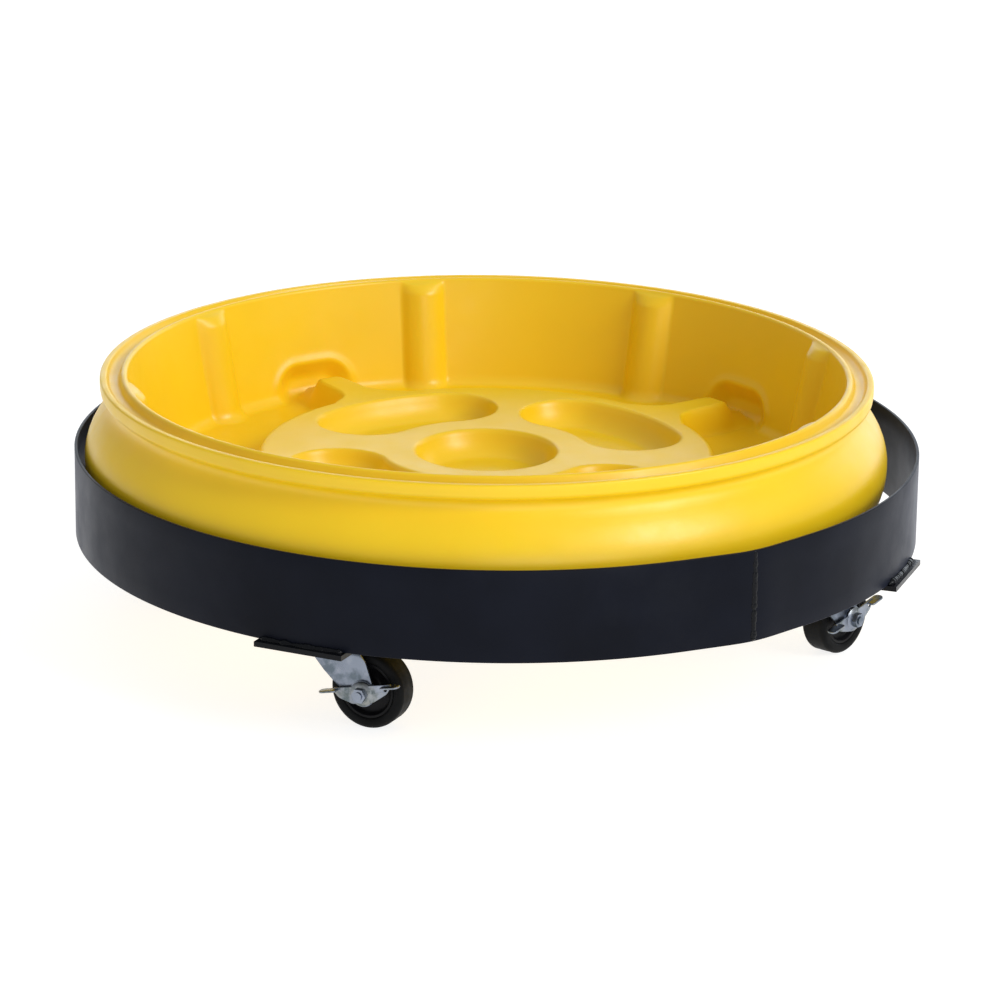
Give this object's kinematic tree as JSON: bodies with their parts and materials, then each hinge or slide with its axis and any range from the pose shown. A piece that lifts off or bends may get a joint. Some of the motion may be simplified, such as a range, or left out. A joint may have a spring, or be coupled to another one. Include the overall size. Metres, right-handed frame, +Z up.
{
  "type": "drum dolly",
  "caption": "Low round drum dolly: a black steel ring on swivel casters with brakes, holding a loose yellow spill tray with a raised platform for one drum.",
  "frame": {"origin": "on the floor, on the axis of the steel ring", "axes": "+Z up, -Y towards the front, where the ring's butt weld is 34.5 degrees to the right of the middle"},
  "size_m": [0.85, 0.85, 0.2633],
  "materials": {
    "black_powder_coat": "satin",
    "painted_weld": "gloss",
    "zinc_fastener": "satin",
    "zinc_plate": "satin",
    "yellow_zinc": "satin",
    "bearing_steel": "polished",
    "wheel_core_black": "satin",
    "tyre_rubber": "matte",
    "yellow_polyethylene": "satin"
  },
  "bodies": {
    "frame": {"ring_band": "black_powder_coat", "cross_bar_long": "black_powder_coat", "cross_bar_half_a": "black_powder_coat", "cross_bar_half_b": "black_powder_coat", "ring_seam_weld": "painted_weld", "bar_centre_welds": "painted_weld", "ring_bar_welds": "painted_weld", "plate_screws": "zinc_fastener", "plate_lock_washers": "zinc_fastener", "plate_nuts": "zinc_fastener", "caster_1_top_plate": "zinc_plate", "caster_1_kingpin": "zinc_plate", "caster_2_top_plate": "zinc_plate", "caster_2_kingpin": "zinc_plate", "caster_3_top_plate": "zinc_plate", "caster_3_kingpin": "zinc_plate", "caster_4_top_plate": "zinc_plate", "caster_4_kingpin": "zinc_plate"},
    "swivel_1": {"caster_1_race_balls": "bearing_steel", "caster_1_fork": "zinc_plate", "caster_1_axle_bolt": "zinc_fastener", "caster_1_axle_nut": "zinc_fastener", "caster_1_axle_sleeve": "zinc_fastener", "caster_1_brake_cam": "zinc_plate"},
    "wheel_1": {"caster_1_wheel_core": "wheel_core_black", "caster_1_tyre": "tyre_rubber"},
    "lever_1": {"caster_1_brake_lever": "yellow_zinc"},
    "swivel_2": {"caster_2_race_balls": "bearing_steel", "caster_2_fork": "zinc_plate", "caster_2_axle_bolt": "zinc_fastener", "caster_2_axle_nut": "zinc_fastener", "caster_2_axle_sleeve": "zinc_fastener", "caster_2_brake_cam": "zinc_plate"},
    "wheel_2": {"caster_2_wheel_core": "wheel_core_black", "caster_2_tyre": "tyre_rubber"},
    "lever_2": {"caster_2_brake_lever": "yellow_zinc"},
    "swivel_3": {"caster_3_race_balls": "bearing_steel", "caster_3_fork": "zinc_plate", "caster_3_axle_bolt": "zinc_fastener", "caster_3_axle_nut": "zinc_fastener", "caster_3_axle_sleeve": "zinc_fastener", "caster_3_brake_cam": "zinc_plate"},
    "wheel_3": {"caster_3_wheel_core": "wheel_core_black", "caster_3_tyre": "tyre_rubber"},
    "lever_3": {"caster_3_brake_lever": "yellow_zinc"},
    "swivel_4": {"caster_4_race_balls": "bearing_steel", "caster_4_fork": "zinc_plate", "caster_4_axle_bolt": "zinc_fastener", "caster_4_axle_nut": "zinc_fastener", "caster_4_axle_sleeve": "zinc_fastener", "caster_4_brake_cam": "zinc_plate"},
    "wheel_4": {"caster_4_wheel_core": "wheel_core_black", "caster_4_tyre": "tyre_rubber"},
    "lever_4": {"caster_4_brake_lever": "yellow_zinc"},
    "tray": {"tray": "yellow_polyethylene"}
  },
  "joints": [
    {"name": "caster_1_swivel", "type": "hinge", "parent": "frame", "child": "swivel_1", "pos_m": [-0.14434, -0.30674, 0.085], "axis": [0, 0, 1], "continuous": true},
    {"name": "caster_1_roll", "type": "hinge", "parent": "swivel_1", "child": "wheel_1", "pos_m": [-0.11534, -0.32026, 0.0381], "axis": [0.4226, 0.9063, 0], "continuous": true},
    {"name": "caster_1_brake", "type": "hinge", "parent": "swivel_1", "child": "lever_1", "pos_m": [-0.11534, -0.32026, 0.0381], "axis": [0.4226, 0.9063, 0], "range_deg": [0, 24]},
    {"name": "caster_2_swivel", "type": "hinge", "parent": "frame", "child": "swivel_2", "pos_m": [0.31936, -0.11372, 0.085], "axis": [0, 0, 1], "continuous": true},
    {"name": "caster_2_roll", "type": "hinge", "parent": "swivel_2", "child": "wheel_2", "pos_m": [0.33993, -0.0892, 0.0381], "axis": [-0.766, 0.6428, 0], "continuous": true},
    {"name": "caster_2_brake", "type": "hinge", "parent": "swivel_2", "child": "lever_2", "pos_m": [0.33993, -0.0892, 0.0381], "axis": [-0.766, 0.6428, 0], "range_deg": [0, 24]},
    {"name": "caster_3_swivel", "type": "hinge", "parent": "frame", "child": "swivel_3", "pos_m": [0.14434, 0.30674, 0.085], "axis": [0, 0, 1], "continuous": true},
    {"name": "caster_3_roll", "type": "hinge", "parent": "swivel_3", "child": "wheel_3", "pos_m": [0.13339, 0.33681, 0.0381], "axis": [-0.9397, -0.342, 0], "continuous": true},
    {"name": "caster_3_brake", "type": "hinge", "parent": "swivel_3", "child": "lever_3", "pos_m": [0.13339, 0.33681, 0.0381], "axis": [-0.9397, -0.342, 0], "range_deg": [0, 24]},
    {"name": "caster_4_swivel", "type": "hinge", "parent": "frame", "child": "swivel_4", "pos_m": [-0.31936, 0.11372, 0.085], "axis": [0, 0, 1], "continuous": true},
    {"name": "caster_4_roll", "type": "hinge", "parent": "swivel_4", "child": "wheel_4", "pos_m": [-0.34707, 0.09772, 0.0381], "axis": [0.5, -0.866, 0], "continuous": true},
    {"name": "caster_4_brake", "type": "hinge", "parent": "swivel_4", "child": "lever_4", "pos_m": [-0.34707, 0.09772, 0.0381], "axis": [0.5, -0.866, 0], "range_deg": [0, 24]},
    {"name": "tray_lift", "type": "slide", "parent": "frame", "child": "tray", "axis": [0, 0, 1], "range_m": [0, 0.18]}
  ]
}
